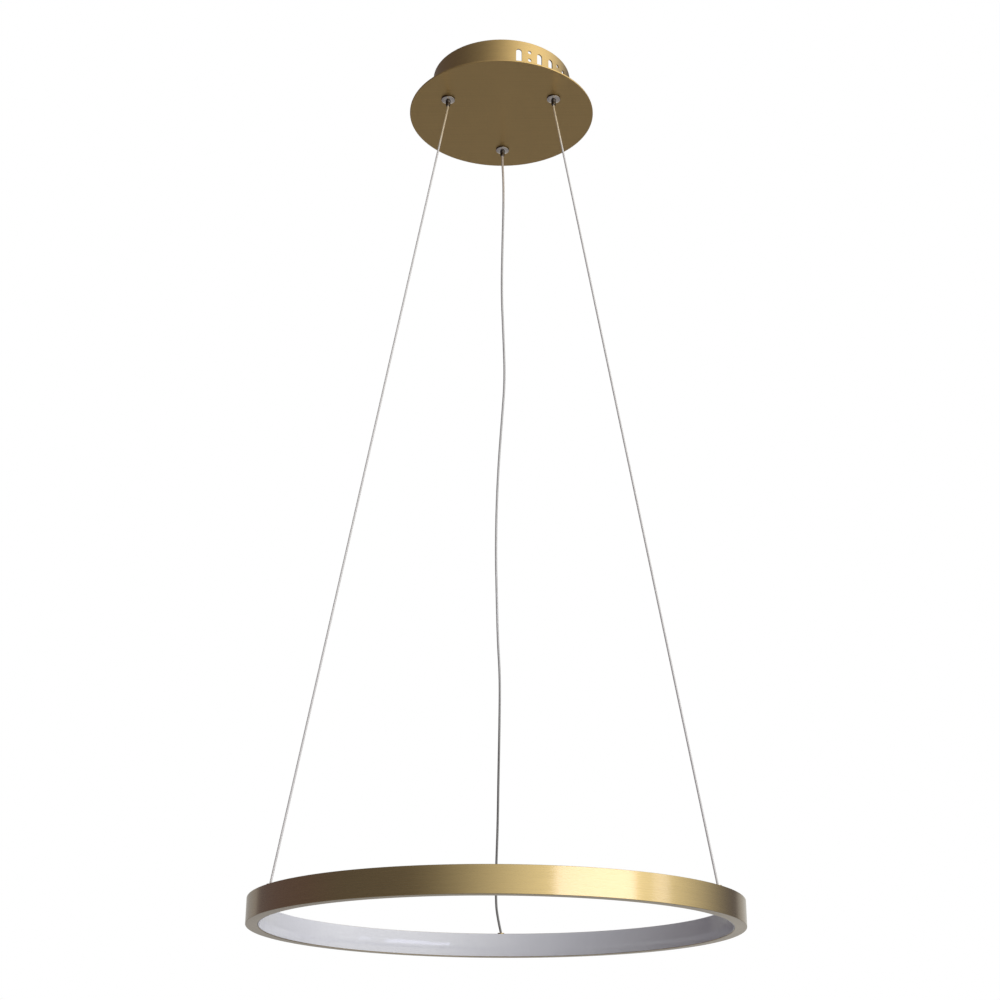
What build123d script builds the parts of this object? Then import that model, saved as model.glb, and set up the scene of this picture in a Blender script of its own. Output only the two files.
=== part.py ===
from build123d import *
import os
from math import cos, hypot, pi, radians, sin, sqrt, tan

# LED ring pendant light: a round ceiling canopy, three cords in adjustable grips, and a ring
# of light. Millimetres, +Z up. The origin is on the ceiling at the middle of the canopy, so
# the light hangs down into negative Z. The power cord is on the rear side, which is +Y.

os.makedirs("parts", exist_ok=True)

# Clearances and fits
seat_gap = 0.05  # between pieces that are pressed, glued or screwed together
hole_clearance = 0.15  # around a shank or barrel in a plain hole
running_clearance = 0.1  # around a sliding nozzle

# Canopy plate and wall
canopy_height = 40.0  # ceiling to the plate's underside
plate_diameter = 177.0
plate_thickness = 1.5
plate_edge_round = 0.4
wall_diameter = 133.0
wall_thickness = 1.2
wall_flange_width = 15.0  # inward flange that lies on the plate

# Vents: each group is a column of holes with a slot on either side
vent_group_angles = (-65.4, -35.4, 114.6, 144.6)
vent_slot_spread = 9.2  # degrees from the hole column to each slot
vent_slot_width = 5.6
vent_slot_length = 20.0
vent_hole_diameter = 3.6
vent_hole_pitch = 8.6
vent_hole_count = 3

# Ceiling bracket
bracket_thickness = 2.0
bracket_width = 24.0
bracket_bend_radius = 1.0
bracket_end_clearance = 0.2  # between the ears' corners and the wall
ear_height = 16.0
ceiling_slot_spacing = 70.0
ceiling_slot_length = 20.0
ceiling_slot_width = 5.2
cable_hole_diameter = 10.5

# Screws through the wall into the bracket's ears
side_screw_diameter = 4.0
side_screw_length = 8.0
side_screw_drop = 9.0  # below the ceiling
side_screw_head_diameter = 7.5
side_screw_head_height = 2.2
screw_slot_width = 0.9
screw_slot_depth = 0.7

# Cord grips
grip_angles = {"left": 210.0, "right": 330.0, "rear": 90.0}
grip_inset = 7.3  # each grip's middle, in from the canopy wall's inner face
grip_flange_diameter = 13.0
grip_flange_height = 2.6
grip_flange_chamfer = 0.8
grip_barrel_diameter = 10.0
grip_barrel_height = 18.0  # above the plate's underside
grip_chamber_diameter = 7.2
grip_cone_start = 2.0  # above the plate's underside
grip_cone_height = 8.0
washer_diameter = 13.0
washer_thickness = 0.8
nut_across_flats = 13.0
nut_thickness = 3.0
cap_head_height = 2.0
cap_spigot_length = 2.0
cap_bore_diameter = 2.8

# Release nozzle, its ball cage and its return spring
nozzle_diameter = 4.6
nozzle_reach = 5.4  # below the grip's flange
nozzle_tip_diameter = 3.6
nozzle_tip_taper = 2.0
nozzle_bore_diameter = 2.6
nozzle_mouth_chamfer = 0.3
cage_diameter = 5.4
cage_height = 4.4
ball_level = 8.0  # ball centres above the plate's underside
ball_count = 3
ball_gap = 0.04
ball_pocket_clearance = 0.06
spring_wire = 0.5
spring_coil_diameter = 4.2
spring_turns = 5

# Cords
side_cord_diameter = 1.8
power_cord_diameter = 2.2
cord_tail_length = 6.0  # above the grip's cap
cord_exit_run = 4.0  # straight out of the nozzle, and straight into the anchor
corner_share = 0.45  # of the shorter run that a corner's arc may take

# Ring
ring_drop = 750.0  # plate's underside to the ring's top
ring_diameter = 400.0
ring_height = 20.5
ring_width = 10.5
ring_edge_round = 0.4
profile_wall = 1.5
profile_web = 1.2
rib_width = 0.6
rib_height = 0.9
diffuser_thickness = 1.5
diffuser_leg_length = 2.5
diffuser_leg_thickness = 1.0
diffuser_crown = 0.8
diffuser_lip = 1.0  # covers the edges of the channel's webs
diffuser_lip_inset = 0.25  # in from the ring's top and bottom
diffuser_clearance = 0.1
anchor_inset = 5.0  # each anchor's middle, in from the ring's outer face
anchor_flange_diameter = 6.0
anchor_flange_height = 1.0
anchor_barrel_diameter = 3.7
anchor_rim_diameter = 4.4
anchor_rim_height = 0.6
anchor_barrel_length = 2.6  # below the ring's top
anchor_bore_diameter = 2.5
ferrule_diameter = 3.2
ferrule_length = 4.0

# LED strip
strip_width = 8.0
strip_thickness = 0.3
led_count = 96
led_length = 2.8
led_width = 3.5
led_height = 0.7
feed_lead_diameter = 0.8
feed_lead_spacing = 1.0
feed_pad_spacing = 4.0
feed_lead_drop = 1.5

# LED driver
pad_thickness = 1.5
pad_inset = 2.0
driver_width = 30.0
driver_length = 80.0
driver_height = 18.0  # tray only
driver_wall = 1.2
driver_lid_thickness = 1.5
driver_lip_depth = 2.0
driver_lip_thickness = 1.0
board_thickness = 1.6
board_margin = 0.5
board_post_height = 2.5
board_post_diameter = 4.0
board_post_inset = 5.0
transformer_length = 18.0
transformer_width = 16.0
transformer_flange = 1.5
transformer_winding_diameter = 13.0
transformer_winding_height = 7.0
transformer_place = (0.0, -12.0)
capacitor_diameter = 8.0
capacitor_height = 10.0
capacitor_round = 0.8
capacitor_sides = (-6.0, 5.0)
capacitor_inset = 10.0  # from the driver's front end
grommet_inset = 8.0  # from the driver's rear end
grommet_flange_diameter = 7.2
grommet_flange_thickness = 0.8
grommet_neck_diameter = 5.0
tail_rise = 3.0  # straight stretch of the power cord's tail above its grip
tail_dip = 5.0  # end of the tail below the driver's lid

# Terminal block and leads
terminal_width = 15.0
terminal_length = 27.0
terminal_height = 13.0
terminal_base_height = 8.0
terminal_across = 32.5  # from the canopy's middle
terminal_earth_spacing = 22.1  # from the block's middle to the earth stud
terminal_pole_count = 3
terminal_pole_pitch = 9.0
terminal_pole_width = 7.5
terminal_pole_round = 0.8
terminal_entry_size = 2.4  # square openings for the leads
terminal_entry_level = 8.5  # above the block's foot
terminal_screw_diameter = 3.0
terminal_screw_spread = 4.0  # from the block's middle
terminal_screw_sink = 0.8
lead_diameter = 1.8
lead_insertion = 5.0
lead_inside_driver = 3.0

# Earth stud on the plate
earth_stud_across = 20.0  # from the canopy's middle
earth_stud_inset = 7.7  # in from the edge of the wall's flange
earth_stud_diameter = 4.0
earth_stud_height = 8.0
earth_nut_across_flats = 7.0
earth_nut_thickness = 3.2
earth_lug_diameter = 8.0
earth_lug_thickness = 0.8
earth_tongue_width = 3.0
earth_tongue_length = 8.0
earth_lead_bend = 5.0  # where the lead comes down, past the block's pole

# Heights, counted down from the ceiling
z_under = -canopy_height
z_plate_top = z_under + plate_thickness
z_flange_top = z_plate_top + wall_thickness
z_washer_top = z_flange_top + washer_thickness
z_barrel_top = z_under + grip_barrel_height
z_cap_top = z_barrel_top + cap_head_height
z_spigot_bottom = z_barrel_top - cap_spigot_length
z_grip_bottom = z_under - grip_flange_height
z_nozzle_tip = z_grip_bottom - nozzle_reach
z_cone_bottom = z_under + grip_cone_start
z_cone_top = z_cone_bottom + grip_cone_height
z_balls = z_under + ball_level
z_cage_bottom = z_balls - cage_height / 2
z_cage_top = z_balls + cage_height / 2
z_ring_top = z_under - ring_drop
z_ring_bottom = z_ring_top - ring_height
z_ring_middle = z_ring_top - ring_height / 2
z_anchor_top = z_ring_top + anchor_flange_height
z_anchor_bottom = z_ring_top - anchor_barrel_length
z_ferrule_top = z_anchor_bottom - seat_gap
z_ferrule_bottom = z_ferrule_top - ferrule_length
z_driver_foot = z_plate_top + pad_thickness
z_tray_floor = z_driver_foot + driver_wall
z_tray_top = z_driver_foot + driver_height
z_lid_top = z_tray_top + driver_lid_thickness
z_board_bottom = z_tray_floor + board_post_height
z_board_top = z_board_bottom + board_thickness
z_terminal_foot = z_plate_top + pad_thickness
z_terminal_entry = z_terminal_foot + terminal_entry_level
z_terminal_top = z_terminal_foot + terminal_height
z_screw_head = z_terminal_top - terminal_screw_sink
z_screw_tip = z_terminal_entry + lead_diameter / 2 + seat_gap
z_tail_end = z_cap_top + cord_tail_length

# Radii and places shared by several pieces
wall_outer = wall_diameter / 2
wall_inner = wall_outer - wall_thickness
flange_inner = wall_inner - wall_flange_width
grip_circle_radius = wall_inner - grip_inset
barrel_radius = grip_barrel_diameter / 2
barrel_hole_radius = barrel_radius + hole_clearance
nozzle_radius = nozzle_diameter / 2
nozzle_hole_radius = nozzle_radius + running_clearance
chamber_radius = grip_chamber_diameter / 2
ring_outer = ring_diameter / 2
ring_inner = ring_outer - ring_width
anchor_circle_radius = ring_outer - anchor_inset
channel_outer = ring_outer - profile_wall
strip_outer = channel_outer - seat_gap
strip_inner = strip_outer - strip_thickness
ear_reach = sqrt(wall_inner**2 - (bracket_width / 2) ** 2) - bracket_end_clearance
side_screw_radius = side_screw_diameter / 2
earth_stud_reach = flange_inner - earth_stud_inset
earth_stud_place = (-earth_stud_across, sqrt(earth_stud_reach**2 - earth_stud_across**2))
terminal_place = (-terminal_across, earth_stud_place[1] - terminal_earth_spacing)
grommet_place = driver_length / 2 - grommet_inset
capacitor_places = [(across, capacitor_inset - driver_length / 2) for across in capacitor_sides]
cord_radius = {
    "left": side_cord_diameter / 2,
    "right": side_cord_diameter / 2,
    "rear": power_cord_diameter / 2,
}
cord_name = {"left": "left_cord", "right": "right_cord", "rear": "power_cord"}

# The power cord keeps a little of the shape that it was coiled in. Each point is the share of
# its way down from the nozzle to the anchor, and how far it stands to the side.
power_cord_waves = (
    (0.035, 1.1),
    (0.075, 1.2),
    (0.130, 0.1),
    (0.190, -0.5),
    (0.245, 1.3),
    (0.305, 2.9),
    (0.355, 0.3),
    (0.415, -3.0),
    (0.475, -5.0),
    (0.535, -5.5),
    (0.590, -4.5),
    (0.645, -3.4),
    (0.690, -1.3),
    (0.750, -1.7),
    (0.815, -2.6),
    (0.875, -3.2),
    (0.920, -4.4),
    (0.956, -3.7),
    (0.978, -2.1),
)


def polar(radius, angle, height=0.0):
    """The point at this radius, angle and height about the light's own axis."""
    return Vector(radius * cos(radians(angle)), radius * sin(radians(angle)), height)


def finish(piece, name):
    """Label a finished piece and write its STEP file."""
    piece.part.label = name
    export_step(piece.part, f"parts/{name}.step")


def section(outline, centre=Vector(0, 0, 0)):
    """The face of a (radius, height) outline that stands beside a vertical line."""
    with BuildSketch(Plane(origin=centre, x_dir=(1, 0, 0), z_dir=(0, -1, 0))) as face:
        with BuildLine():
            Polyline(*outline, close=True)
        make_face()
    return face.sketch


def corner_radii(points):
    """The largest arc that the two runs at each corner of a cord's route allow."""
    radii = []
    for before, at, after in zip(points, points[1:], points[2:]):
        first = at - before
        second = after - at
        turn = radians(first.get_angle(second))
        radii.append(corner_share * min(first.length, second.length) / tan(turn / 2))
    return radii


def cord_tube(points, diameter, name):
    """A round cord along straight runs joined by tangent arcs."""
    points = [Vector(*point) for point in points]
    radii = corner_radii(points)
    with BuildPart() as tube:
        with BuildLine() as route:
            FilletPolyline(*points, radius=radii)
        with BuildSketch(Plane(origin=route.line @ 0, z_dir=route.line % 0)):
            Circle(diameter / 2)
        sweep(path=route.line)
    length = route.wire().length
    expected = length * pi * diameter**2 / 4
    print(
        f"{name}: length {length:.1f}, radii {[round(radius) for radius in radii]},",
        f"volume {tube.part.volume:.1f} of {expected:.1f}",
    )
    return tube


def coil_tube(centre, coil_diameter, wire, bottom, top, turns):
    """A round-wire coil spring, made of quarter-turn arcs that run on from each other."""
    steps = 4 * turns
    rise = (top - bottom - wire) / steps
    start = bottom + wire / 2
    radius = coil_diameter / 2
    stations = [centre + polar(radius, 90 * step, start + rise * step) for step in range(steps + 1)]
    heading = Vector(0, radius * pi / 2, rise)
    with BuildPart() as coil:
        with BuildLine() as path:
            for here, there in zip(stations, stations[1:]):
                arc = TangentArc(here, there, tangent=heading)
                heading = arc % 1
        with BuildSketch(Plane(origin=path.line @ 0, z_dir=path.line % 0)):
            Circle(wire / 2)
        sweep(path=path.line)
    print(f"spring: {turns} turns, gap between turns {4 * rise - wire:.2f}")
    return coil


# Canopy plate: a flat disc with a hole for each grip
with BuildPart() as canopy_plate:
    with BuildSketch(Plane.XY.offset(z_under)):
        Circle(plate_diameter / 2)
        with PolarLocations(grip_circle_radius, len(grip_angles), grip_angles["rear"]):
            Circle(barrel_hole_radius, mode=Mode.SUBTRACT)
    extrude(amount=plate_thickness)
    rim = canopy_plate.edges().filter_by(GeomType.CIRCLE)
    fillet(rim.filter_by(lambda edge: edge.radius > wall_outer), plate_edge_round)
finish(canopy_plate, "canopy_plate")

# Canopy wall: a drum open to the ceiling, with an inward flange that the grips clamp
with BuildPart() as canopy_wall:
    with BuildSketch(Plane.XY.offset(z_plate_top)):
        Circle(wall_outer)
        Circle(wall_inner, mode=Mode.SUBTRACT)
    extrude(amount=-z_plate_top)
    with BuildSketch(Plane.XY.offset(z_plate_top)):
        Circle(wall_outer)
        Circle(flange_inner, mode=Mode.SUBTRACT)
        with PolarLocations(grip_circle_radius, len(grip_angles), grip_angles["rear"]):
            Circle(barrel_hole_radius, mode=Mode.SUBTRACT)
    extrude(amount=wall_thickness)
    z_vent = z_plate_top / 2
    for group_angle in vent_group_angles:
        for slot_angle in (group_angle - vent_slot_spread, group_angle + vent_slot_spread):
            with BuildSketch(Plane(origin=(0, 0, z_vent), x_dir=(0, 0, 1), z_dir=polar(1, slot_angle))):
                SlotOverall(vent_slot_length, vent_slot_width)
            extrude(amount=wall_diameter, mode=Mode.SUBTRACT)
        with BuildSketch(Plane(origin=(0, 0, z_vent), x_dir=(0, 0, 1), z_dir=polar(1, group_angle))):
            with GridLocations(vent_hole_pitch, 1, vent_hole_count, 1):
                Circle(vent_hole_diameter / 2)
        extrude(amount=wall_diameter, mode=Mode.SUBTRACT)
    with BuildSketch(Plane.YZ):
        with Locations((0, -side_screw_drop)):
            Circle(side_screw_radius + hole_clearance)
    extrude(amount=wall_diameter, both=True, mode=Mode.SUBTRACT)
finish(canopy_wall, "canopy_wall")

# Ceiling bracket: a strap with slots for the ceiling screws and an ear bent down at each end
with BuildPart() as mounting_bracket:
    with BuildSketch(Plane.XZ) as strap:
        Rectangle(2 * ear_reach, ear_height, align=(Align.CENTER, Align.MAX))
        fillet(strap.vertices().group_by(Axis.Y)[-1], bracket_bend_radius + bracket_thickness)
        with BuildSketch(mode=Mode.PRIVATE) as hollow:
            with Locations((0, -bracket_thickness)):
                Rectangle(
                    2 * (ear_reach - bracket_thickness),
                    ear_height,
                    align=(Align.CENTER, Align.MAX),
                )
            fillet(hollow.vertices().group_by(Axis.Y)[-1], bracket_bend_radius)
        add(hollow.sketch, mode=Mode.SUBTRACT)
    extrude(amount=bracket_width / 2, both=True)
    with BuildSketch(Plane.XY):
        with GridLocations(ceiling_slot_spacing, 1, 2, 1):
            SlotOverall(ceiling_slot_length, ceiling_slot_width)
        Circle(cable_hole_diameter / 2)
    extrude(amount=-bracket_thickness, mode=Mode.SUBTRACT)
    with BuildSketch(Plane.YZ):
        with Locations((0, -side_screw_drop)):
            Circle(side_screw_radius + seat_gap)
    extrude(amount=wall_diameter, both=True, mode=Mode.SUBTRACT)
finish(mounting_bracket, "mounting_bracket")

# Side screws, one through each side of the wall
with BuildPart() as side_screws:
    for side in (1, -1):
        seat = Plane(
            origin=(side * (wall_outer + seat_gap), 0, -side_screw_drop),
            x_dir=(0, 1, 0),
            z_dir=(side, 0, 0),
        )
        with BuildSketch(seat):
            Circle(side_screw_head_diameter / 2)
        extrude(amount=side_screw_head_height)
        with BuildSketch(seat):
            Circle(side_screw_radius)
        extrude(amount=-side_screw_length)
        with BuildSketch(seat.offset(side_screw_head_height)):
            Rectangle(side_screw_head_diameter, screw_slot_width)
        extrude(amount=-screw_slot_depth, mode=Mode.SUBTRACT)
finish(side_screws, "side_screws")

# Cord grips: a flanged barrel with a cone inside, one for each cord
cone_slope = (chamber_radius - nozzle_hole_radius) / grip_cone_height
cone_at_balls = nozzle_hole_radius + cone_slope * (z_balls - z_cone_bottom)
cone_lean = hypot(1, cone_slope)
for side, angle in grip_angles.items():
    centre = polar(grip_circle_radius, angle)
    grip_outline = (
        (nozzle_hole_radius, z_grip_bottom),
        (grip_flange_diameter / 2 - grip_flange_chamfer, z_grip_bottom),
        (grip_flange_diameter / 2, z_grip_bottom + grip_flange_chamfer),
        (grip_flange_diameter / 2, z_under),
        (barrel_radius, z_under),
        (barrel_radius, z_barrel_top),
        (chamber_radius, z_barrel_top),
        (chamber_radius, z_cone_top),
        (nozzle_hole_radius, z_cone_bottom),
    )
    with BuildPart() as grip_body:
        revolve(section(grip_outline, centre), axis=Axis(centre, (0, 0, 1)))
    finish(grip_body, f"grip_body_{side}")

    # The balls wedge between the cone and the cord, so the cord's size sets theirs
    ball_radius = (cone_at_balls - cord_radius[side]) / (1 + cone_lean) - ball_gap
    ball_circle = cord_radius[side] + ball_gap + ball_radius
    ball_angles = [angle + 360 / ball_count * i for i in range(ball_count)]

    nozzle_bore = nozzle_bore_diameter / 2
    nozzle_outline = (
        (nozzle_bore + nozzle_mouth_chamfer, z_nozzle_tip),
        (nozzle_tip_diameter / 2, z_nozzle_tip),
        (nozzle_radius, z_nozzle_tip + nozzle_tip_taper),
        (nozzle_radius, z_cage_bottom),
        (cage_diameter / 2, z_cage_bottom),
        (cage_diameter / 2, z_cage_top),
        (nozzle_bore, z_cage_top),
        (nozzle_bore, z_nozzle_tip + nozzle_mouth_chamfer),
    )
    with BuildPart() as release_nozzle:
        revolve(section(nozzle_outline, centre), axis=Axis(centre, (0, 0, 1)))
        for ball_angle in ball_angles:
            with BuildSketch(Plane(origin=centre + (0, 0, z_balls), z_dir=polar(1, ball_angle))):
                Circle(ball_radius + ball_pocket_clearance)
            extrude(amount=cage_diameter, mode=Mode.SUBTRACT)
    finish(release_nozzle, f"release_nozzle_{side}")

    with BuildPart() as clamp_balls:
        with Locations(*[centre + polar(ball_circle, ball_angle, z_balls) for ball_angle in ball_angles]):
            Sphere(ball_radius)
    finish(clamp_balls, f"clamp_balls_{side}")

    grip_spring = coil_tube(
        centre,
        spring_coil_diameter,
        spring_wire,
        z_cage_top + seat_gap,
        z_spigot_bottom - seat_gap,
        spring_turns,
    )
    finish(grip_spring, f"grip_spring_{side}")

# Washers, lock nuts and end caps of the three grips
with BuildPart() as grip_washers:
    with BuildSketch(Plane.XY.offset(z_flange_top)):
        with PolarLocations(grip_circle_radius, len(grip_angles), grip_angles["rear"]):
            Circle(washer_diameter / 2)
            Circle(barrel_hole_radius, mode=Mode.SUBTRACT)
    extrude(amount=washer_thickness)
finish(grip_washers, "grip_washers")

with BuildPart() as grip_nuts:
    with BuildSketch(Plane.XY.offset(z_washer_top)):
        with PolarLocations(grip_circle_radius, len(grip_angles), grip_angles["rear"]):
            RegularPolygon(nut_across_flats / 2, 6, major_radius=False, rotation=30)
            Circle(barrel_radius + seat_gap, mode=Mode.SUBTRACT)
    extrude(amount=nut_thickness)
finish(grip_nuts, "grip_nuts")

with BuildPart() as grip_caps:
    with BuildSketch(Plane.XY.offset(z_spigot_bottom)):
        with PolarLocations(grip_circle_radius, len(grip_angles), grip_angles["rear"]):
            Circle(chamber_radius - seat_gap)
            Circle(cap_bore_diameter / 2, mode=Mode.SUBTRACT)
    extrude(amount=cap_spigot_length)
    with BuildSketch(Plane.XY.offset(z_barrel_top)):
        with PolarLocations(grip_circle_radius, len(grip_angles), grip_angles["rear"]):
            Circle(barrel_radius)
            Circle(cap_bore_diameter / 2, mode=Mode.SUBTRACT)
    extrude(amount=cap_head_height)
finish(grip_caps, "grip_caps")

# Side cords: straight under load, and upright where they pass a nozzle or an anchor
for side in ("left", "right"):
    angle = grip_angles[side]
    side_cord = cord_tube(
        (
            polar(grip_circle_radius, angle, z_nozzle_tip),
            polar(grip_circle_radius, angle, z_nozzle_tip - cord_exit_run),
            polar(anchor_circle_radius, angle, z_anchor_top + cord_exit_run),
            polar(anchor_circle_radius, angle, z_ferrule_bottom),
        ),
        side_cord_diameter,
        cord_name[side],
    )
    finish(side_cord, cord_name[side])

    with BuildPart() as side_tail:
        with BuildSketch(Plane.XY.offset(z_nozzle_tip)):
            with Locations(polar(grip_circle_radius, angle)):
                Circle(side_cord_diameter / 2)
        extrude(amount=z_tail_end - z_nozzle_tip)
    finish(side_tail, f"{cord_name[side]}_tail")

# Power cord: nearly straight, with the waves that its coil left in it
cord_fall = z_anchor_top - z_nozzle_tip
cord_spread = anchor_circle_radius - grip_circle_radius
power_points = [
    (0, grip_circle_radius, z_nozzle_tip),
    (0, grip_circle_radius, z_nozzle_tip - 2 * cord_exit_run),
]
for share, sideways in power_cord_waves:
    power_points.append(
        (sideways, grip_circle_radius + share * cord_spread, z_nozzle_tip + share * cord_fall)
    )
power_points.append((0, anchor_circle_radius, z_anchor_top + cord_exit_run / 2))
power_points.append((0, anchor_circle_radius, z_ferrule_bottom))
power_cord = cord_tube(power_points, power_cord_diameter, cord_name["rear"])
finish(power_cord, cord_name["rear"])

# The power cord's tail turns over inside the canopy and goes down into the driver
z_tail_turn = z_cap_top + tail_rise
tail_loop = (grip_circle_radius - grommet_place) / 2
with BuildPart() as power_tail:
    with BuildLine() as tail_route:
        Line((0, grip_circle_radius, z_nozzle_tip), (0, grip_circle_radius, z_tail_turn))
        ThreePointArc(
            (0, grip_circle_radius, z_tail_turn),
            (0, grip_circle_radius - tail_loop, z_tail_turn + tail_loop),
            (0, grommet_place, z_tail_turn),
        )
        Line((0, grommet_place, z_tail_turn), (0, grommet_place, z_lid_top - tail_dip))
    with BuildSketch(Plane.XY.offset(z_nozzle_tip)):
        with Locations((0, grip_circle_radius)):
            Circle(power_cord_diameter / 2)
    sweep(path=tail_route.line)
finish(power_tail, "power_cord_tail")

# Ring profile: a channel bent into a circle, open towards the middle
web_top = z_ring_top - profile_web
web_bottom = z_ring_bottom + profile_web
web_edge = ring_inner + diffuser_lip
rib_inner = ring_inner + diffuser_leg_length + diffuser_clearance
rib_outer = rib_inner + rib_width
ring_outline = (
    (web_edge, z_ring_top),
    (ring_outer, z_ring_top),
    (ring_outer, z_ring_bottom),
    (web_edge, z_ring_bottom),
    (web_edge, web_bottom),
    (rib_inner, web_bottom),
    (rib_inner, web_bottom + rib_height),
    (rib_outer, web_bottom + rib_height),
    (rib_outer, web_bottom),
    (channel_outer, web_bottom),
    (channel_outer, web_top),
    (rib_outer, web_top),
    (rib_outer, web_top - rib_height),
    (rib_inner, web_top - rib_height),
    (rib_inner, web_top),
    (web_edge, web_top),
)
with BuildPart() as ring_profile:
    revolve(section(ring_outline), axis=Axis.Z)
    hoops = ring_profile.edges().filter_by(GeomType.CIRCLE)
    fillet(hoops.filter_by(lambda edge: edge.radius > ring_outer - seat_gap), ring_edge_round)
    with BuildSketch(Plane.XY.offset(z_ring_top)):
        with PolarLocations(anchor_circle_radius, len(grip_angles), grip_angles["rear"]):
            Circle(anchor_barrel_diameter / 2 + seat_gap)
    extrude(amount=-profile_web, mode=Mode.SUBTRACT)
finish(ring_profile, "ring_profile")

# Ring diffuser: a crowned strip whose lips cover the webs' edges, with two legs that snap in behind the ribs
lip_top = z_ring_top - diffuser_lip_inset
lip_bottom = z_ring_bottom + diffuser_lip_inset
lip_back = web_edge - diffuser_clearance
leg_top = web_top - diffuser_clearance
leg_bottom = web_bottom + diffuser_clearance
leg_end = ring_inner + diffuser_leg_length
face_back = ring_inner + diffuser_thickness
with BuildPart() as ring_diffuser:
    with BuildSketch(Plane.XZ):
        with BuildLine():
            Polyline(
                (ring_inner, lip_top),
                (lip_back, lip_top),
                (lip_back, leg_top),
                (leg_end, leg_top),
                (leg_end, leg_top - diffuser_leg_thickness),
                (face_back, leg_top - diffuser_leg_thickness),
                (face_back, leg_bottom + diffuser_leg_thickness),
                (leg_end, leg_bottom + diffuser_leg_thickness),
                (leg_end, leg_bottom),
                (lip_back, leg_bottom),
                (lip_back, lip_bottom),
                (ring_inner, lip_bottom),
            )
            ThreePointArc(
                (ring_inner, lip_bottom),
                (ring_inner - diffuser_crown, z_ring_middle),
                (ring_inner, lip_top),
            )
        make_face()
    revolve(axis=Axis.Z)
finish(ring_diffuser, "ring_diffuser")

# LED strip on the channel's outer wall, and its LEDs
with BuildPart() as led_strip:
    with BuildSketch(Plane.XY.offset(z_ring_middle - strip_width / 2)):
        Circle(strip_outer)
        Circle(strip_inner, mode=Mode.SUBTRACT)
    extrude(amount=strip_width)
finish(led_strip, "led_strip")

led_centre_radius = strip_inner - seat_gap - led_height / 2
led_step = 360 / led_count
with BuildPart() as led_chips:
    with BuildSketch(Plane.XY.offset(z_ring_middle - led_width / 2)):
        with PolarLocations(led_centre_radius, led_count, grip_angles["rear"] + led_step / 2):
            Rectangle(led_height, led_length)
    extrude(amount=led_width)
finish(led_chips, "led_chips")

# Cord anchors: bushes clinched into the ring's top web
with BuildPart() as cord_anchors:
    for radius, bottom, top in (
        (anchor_flange_diameter / 2, z_ring_top, z_anchor_top),
        (anchor_barrel_diameter / 2, z_anchor_bottom, z_ring_top),
        (anchor_rim_diameter / 2, web_top - seat_gap - anchor_rim_height, web_top - seat_gap),
    ):
        with BuildSketch(Plane.XY.offset(bottom)):
            with PolarLocations(anchor_circle_radius, len(grip_angles), grip_angles["rear"]):
                Circle(radius)
        extrude(amount=top - bottom)
    with BuildSketch(Plane.XY.offset(z_anchor_bottom)):
        with PolarLocations(anchor_circle_radius, len(grip_angles), grip_angles["rear"]):
            Circle(anchor_bore_diameter / 2)
    extrude(amount=z_anchor_top - z_anchor_bottom, mode=Mode.SUBTRACT)
finish(cord_anchors, "cord_anchors")

# Ferrules crimped on the cords' ends, under the anchors
with BuildPart() as cord_ferrules:
    with BuildSketch(Plane.XY.offset(z_ferrule_bottom)):
        for side, angle in grip_angles.items():
            with Locations(polar(anchor_circle_radius, angle)):
                Circle(ferrule_diameter / 2)
                Circle(cord_radius[side] + seat_gap, mode=Mode.SUBTRACT)
    extrude(amount=ferrule_length)
finish(cord_ferrules, "cord_ferrules")

# Feed leads from the power cord's end to the LED strip
with BuildPart() as feed_leads:
    for side in (1, -1):
        lead_x = side * feed_lead_spacing / 2
        pad_x = side * feed_pad_spacing / 2
        lead_start = z_ferrule_bottom - seat_gap
        feed_points = (
            Vector(lead_x, anchor_circle_radius, lead_start),
            Vector(lead_x, anchor_circle_radius, lead_start - feed_lead_drop),
            Vector(pad_x, strip_inner - feed_lead_diameter / 2, z_ring_middle),
        )
        with BuildLine() as feed_route:
            FilletPolyline(*feed_points, radius=corner_radii(feed_points))
        with BuildSketch(Plane(origin=feed_route.line @ 0, z_dir=feed_route.line % 0)):
            Circle(feed_lead_diameter / 2)
        sweep(path=feed_route.line)
finish(feed_leads, "feed_leads")

# Adhesive pads under the driver and the terminal block
with BuildPart() as adhesive_pads:
    with BuildSketch(Plane.XY.offset(z_plate_top)):
        Rectangle(driver_width - 2 * pad_inset, driver_length - 2 * pad_inset)
        with Locations(terminal_place):
            Rectangle(terminal_width - 2 * pad_inset, terminal_length - 2 * pad_inset)
    extrude(amount=pad_thickness)
finish(adhesive_pads, "adhesive_pads")

# Driver tray: an open box with four board posts, and two holes for the supply leads
pole_places = [
    terminal_place[1] + terminal_pole_pitch * (i - (terminal_pole_count - 1) / 2)
    for i in range(terminal_pole_count)
]
tray_inside = (driver_width - 2 * driver_wall, driver_length - 2 * driver_wall)
board_size = (tray_inside[0] - 2 * board_margin, tray_inside[1] - 2 * board_margin)
with BuildPart() as driver_tray:
    with BuildSketch(Plane.XY.offset(z_driver_foot)):
        Rectangle(driver_width, driver_length)
    extrude(amount=driver_height)
    with BuildSketch(Plane.XY.offset(z_tray_floor)):
        Rectangle(*tray_inside)
    extrude(amount=driver_height, mode=Mode.SUBTRACT)
    with BuildSketch(Plane.XY.offset(z_tray_floor)):
        with GridLocations(board_size[0] - 2 * board_post_inset, board_size[1] - 2 * board_post_inset, 2, 2):
            Circle(board_post_diameter / 2)
    extrude(amount=board_post_height)
    with BuildSketch(Plane.YZ):
        with Locations(*[(y, z_terminal_entry) for y in pole_places[:2]]):
            Circle(lead_diameter / 2 + hole_clearance)
    extrude(amount=-driver_width, mode=Mode.SUBTRACT)
finish(driver_tray, "driver_tray")

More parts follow.
